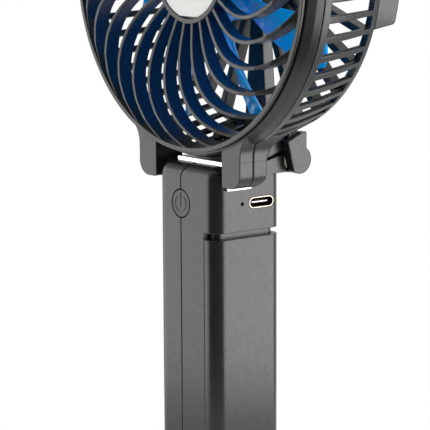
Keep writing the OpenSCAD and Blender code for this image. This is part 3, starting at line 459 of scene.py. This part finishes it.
# One point of a blade: u runs from hub to tip, t across the chord, and side is front or back
def bladePoint(s, u, t, side, turn):
    r = blend(s["hub"] - s["wall"] / 2, s["tip"], u)
    chord = blend(*s["chord"], math.sin(math.pi / 2 * u))
    chord *= 1 - s["narrowing"] * u ** s["narrowPower"]
    pitch = math.radians(blend(*s["pitch"], u ** s["pitchPower"]))
    fillet = s["fillet"] * math.exp(-((r - s["hub"]) / s["filletWidth"]) ** 2)
    bow = 1 - 4 * t * t
    half = s["thickness"] * blend(1, s["tipThickness"], u) / 2
    half = half * math.sqrt(max(0, 1 - s["edgeRound"] * t * t)) + s["edgeHalf"]
    lift = s["camber"] * bow + side * (half + fillet * max(0, bow))
    along = chord * t
    swing = (along * math.cos(pitch) + lift * math.sin(pitch)) / r
    angle = math.radians(s["sweep"]) * u + swing + turn
    y = s["mid"] + s["rake"] * u - along * math.sin(pitch) + lift * math.cos(pitch)
    return mm(r * math.sin(angle), y - s["camber"] / 2, -r * math.cos(angle))


def addBlade(s, points, faces, turn):
    base, across, around = len(points), s["across"], 2 * (s["across"] + 1)
    row = [(j / across - 0.5, 1) for j in range(across + 1)]
    row += [(t, -1) for t, side in reversed(row)]
    for i in range(s["rings"] + 1):
        points += [bladePoint(s, i / s["rings"], t, side, turn) for t, side in row]
    for i in range(s["rings"]):
        for j in range(around):
            a, b = base + i * around + j, base + i * around + (j + 1) % around
            faces.append((a, a + around, b + around, b))
    for first in (base, base + s["rings"] * around):
        last = first + around - 1
        faces += [(first + j, first + j + 1, last - j - 1, last - j) for j in range(across)]


# The cup's half section as radius and depth, with its front edge rounded
def cupProfile(s):
    r, w, f, e = s["hub"], s["wall"], s["front"], s["front"] + s["depth"]
    q, inner, boss, bore = s["rimRound"], s["innerRound"], s["bossRadius"], s["boreRadius"]
    angles = [math.pi / 2 * i / s["rimSteps"] for i in range(s["rimSteps"] + 1)]
    rim = [(r - q + q * math.sin(a), f + q - q * math.cos(a)) for a in angles]
    cup = [(r, e), (r - w, e), (r - w, f + w + inner), (r - w - inner, f + w), (boss, f + w)]
    hole = [(boss, s["bossEnd"]), (bore, s["bossEnd"]), (bore, f + s["boreFloor"])]
    return [(0.0, f)] + rim + cup + hole + [(0.0, f + s["boreFloor"])]


def addTurned(points, faces, profile, turns):
    start = len(points)
    for radius, depth in profile:
        for i in range(turns):
            a = 2 * math.pi * i / turns
            points.append(mm(radius * math.cos(a), depth, radius * math.sin(a)))
    for j in range(len(profile) - 1):
        for i in range(turns):
            a, b = start + j * turns + i, start + j * turns + (i + 1) % turns
            faces.append((a, b, b + turns, a + turns))


def makeImpeller(s):
    points, faces = [], []
    for k in range(s["blades"]):
        addBlade(s, points, faces, math.radians(s["phase"] + k * 360 / s["blades"]))
    addTurned(points, faces, cupProfile(s), s["turns"])
    plastic = finishes["bladePlastic"]
    obj = addMesh("impellerBlades", points, faces, plastic, "rotor")
    bm = bmesh.new()
    bm.from_mesh(obj.data)
    bmesh.ops.remove_doubles(bm, verts=bm.verts, dist=1e-7)
    limit = math.radians(s["smoothBelow"])
    for edge in bm.edges:
        edge.smooth = len(edge.link_faces) == 2 and edge.calc_face_angle(0) < limit
    bm.to_mesh(obj.data)
    bm.free()
    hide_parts("impeller")


makeImpeller(impellerShape)
print("fan: impeller made")

# The contacts on both faces of the socket's tongue, in millimetres
contactShape = {
    "count": 12, "pitch": 0.5, "width": 0.24, "length": 3.6, "rise": 0.02, "depth": 0.6,
    "sunk": 0.02, "bevel": 0.01,
}

# The steel plate that shows at the tongue's tip, in millimetres
plateShape = {"length": 1.6, "rise": 0.04, "height": 0.34, "margin": 0.35, "bevel": 0.06}


# One bar along X with bevelled long edges and a pointed tip, in metres
def addBar(points, faces, low, high, bevel):
    b = len(points)
    y0, y1, z0, z1 = low[1], high[1], low[2], high[2]
    ring = [(y0 + bevel, z0), (y1 - bevel, z0), (y1, z0 + bevel), (y1, z1 - bevel),
            (y1 - bevel, z1), (y0 + bevel, z1), (y0, z1 - bevel), (y0, z0 + bevel)]
    tip = [(blend(y, (y0 + y1) / 2, 0.04), blend(z, (z0 + z1) / 2, 0.3)) for y, z in ring]
    for x, section in ((low[0], ring), (high[0] - bevel, ring), (high[0], tip)):
        points += [(x, y, z) for y, z in section]
    n = len(ring)
    for row in (b, b + n):
        for i in range(n):
            j = (i + 1) % n
            faces.append((row + i, row + j, row + n + j, row + n + i))
    faces += [tuple(b + i for i in range(n)), tuple(b + 2 * n + i for i in range(n))]


def makeContacts(s):
    low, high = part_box("usb_tongue")
    midY, half = (low.y + high.y) / 2, s["width"] / 2000
    x1 = high.x - s["depth"] / 1000
    x0 = x1 - s["length"] / 1000
    points, faces = [], []
    for z, out in ((high.z, 1), (low.z, -1)):
        z0, z1 = sorted((z - out * s["sunk"] / 1000, z + out * s["rise"] / 1000))
        for i in range(s["count"]):
            y = midY + (i - (s["count"] - 1) / 2) * s["pitch"] / 1000
            addBar(points, faces, (x0, y - half, z0), (x1, y + half, z1), s["bevel"] / 1000)
    metal = finishes["contactMetal"]
    addMesh("socketContacts", points, faces, metal, "handle", False)


def makePlate(s):
    low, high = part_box("usb_tongue")
    midZ, half, margin = (low.z + high.z) / 2, s["height"] / 2000, s["margin"] / 1000
    points, faces = [], []
    addBar(points, faces, (high.x - s["length"] / 1000, low.y + margin, midZ - half),
           (high.x + s["rise"] / 1000, high.y - margin, midZ + half), s["bevel"] / 1000)
    metal = finishes["plateSteel"]
    addMesh("socketPlate", points, faces, metal, "handle", False)


makeContacts(contactShape)
makePlate(plateShape)
print("fan: socket contacts made")

# A pale floor that keeps the shadow and fades to plain white away from the object, in metres
floorSettings = {
    "radius": 0.15, "below": 0.0002, "sides": 96, "colour": 0.84, "roughness": 0.9,
    "fade": (0.025, 0.085),
}


# 1 for the rays that show the background: from the camera, through glass and, if asked, in gloss
def seenRays(tree, path, gloss):
    seen = path.outputs["Is Camera Ray"]
    if gloss:
        seen = mathNode(tree, "MAXIMUM", seen, path.outputs["Is Glossy Ray"])
    return mathNode(tree, "MAXIMUM", seen, path.outputs["Is Transmission Ray"])


def makeFloor(s):
    mesh = bpy.data.meshes.new("floor")
    angles = [2 * math.pi * i / s["sides"] for i in range(s["sides"])]
    ring = [(s["radius"] * math.cos(a), s["radius"] * math.sin(a), -s["below"]) for a in angles]
    mesh.from_pydata(ring, [], [tuple(range(s["sides"]))])
    material, tree, shader = startMaterial("floor")
    shader.inputs["Base Color"].default_value = shade((s["colour"],) * 3)
    shader.inputs["Roughness"].default_value = s["roughness"]
    shader.inputs["Specular IOR Level"].default_value = 0.0
    glow = tree.nodes.new("ShaderNodeEmission")
    glow.inputs["Color"].default_value = (1, 1, 1, 1)
    seen = seenRays(tree, tree.nodes.new("ShaderNodeLightPath"), True)
    far = rangeNode(tree, vectorNode(tree, "LENGTH", placeOf(tree)), *s["fade"])
    mixer = tree.nodes.new("ShaderNodeMixShader")
    put(tree, mixer.inputs[0], mathNode(tree, "MULTIPLY", seen, far))
    put(tree, mixer.inputs[1], shader.outputs[0])
    put(tree, mixer.inputs[2], glow.outputs[0])
    tree.links.new(mixer.outputs[0], tree.nodes["Material Output"].inputs[0])
    mesh.materials.append(material)
    floor = bpy.data.objects.new("floor", mesh)
    scene.collection.objects.link(floor)


makeFloor(floorSettings)

# White behind the object, and in gloss dark on the side that the picture is taken from
worldSettings = {
    "fill": 0.85, "glossWhite": 0.7, "glossDark": 0.01, "turn": (-0.1, 0.5),
    "darkSide": (0.80, -0.60, 0.0),
}


def makeWorld(s):
    world = bpy.data.worlds.new("world")
    scene.world = world
    world.use_nodes = True
    tree = world.node_tree
    tree.nodes.clear()
    output = tree.nodes.new("ShaderNodeOutputWorld")
    background = tree.nodes.new("ShaderNodeBackground")
    coords = tree.nodes.new("ShaderNodeTexCoord").outputs["Generated"]
    side = vectorNode(tree, "DOT_PRODUCT", coords, s["darkSide"])
    gloss = rangeNode(tree, side, *s["turn"], s["glossWhite"], s["glossDark"])
    path = tree.nodes.new("ShaderNodeLightPath")
    level = mathNode(tree, "MULTIPLY", path.outputs["Is Glossy Ray"], gloss)
    fill = mathNode(tree, "MULTIPLY", path.outputs["Is Diffuse Ray"], s["fill"])
    level = mathNode(tree, "ADD", level, fill)
    level = mathNode(tree, "ADD", level, seenRays(tree, path, False))
    background.inputs["Color"].default_value = (1, 1, 1, 1)
    put(tree, background.inputs["Strength"], level)
    tree.links.new(background.outputs[0], output.inputs[0])


makeWorld(worldSettings)

# Softboxes, in metres; strength is how bright their surface looks, and 1 is white
lampSettings = {
    "frontLeft": {
        "place": (-0.72, -0.56, 0.08), "aim": (0, 0, 0.1), "size": (0.85, 0.9), "strength": 1.4},
    "rearRight": {
        "place": (0.74, 0.54, 0.1), "aim": (0, 0, 0.1), "size": (0.8, 0.9), "strength": 3.7},
    "top": {
        "place": (0.0, 0.0, 0.95), "aim": (0, 0, 0.1), "size": (0.8, 0.8), "strength": 1.2},
}


def makeLamp(name, s):
    data = bpy.data.lights.new(name, "AREA")
    data.shape = "RECTANGLE"
    data.size, data.size_y = s["size"]
    data.energy = s["strength"] * 4 * s["size"][0] * s["size"][1]  # watts for that strength
    towards = Vector(s["aim"]) - Vector(s["place"])
    lamp = bpy.data.objects.new(name, data)
    lamp.location = s["place"]
    lamp.rotation_euler = towards.to_track_quat("-Z", "Y").to_euler()
    lamp.visible_camera = False
    scene.collection.objects.link(lamp)


for lampName, s in lampSettings.items():
    makeLamp(lampName, s)
print("fan: stage and lamps made")
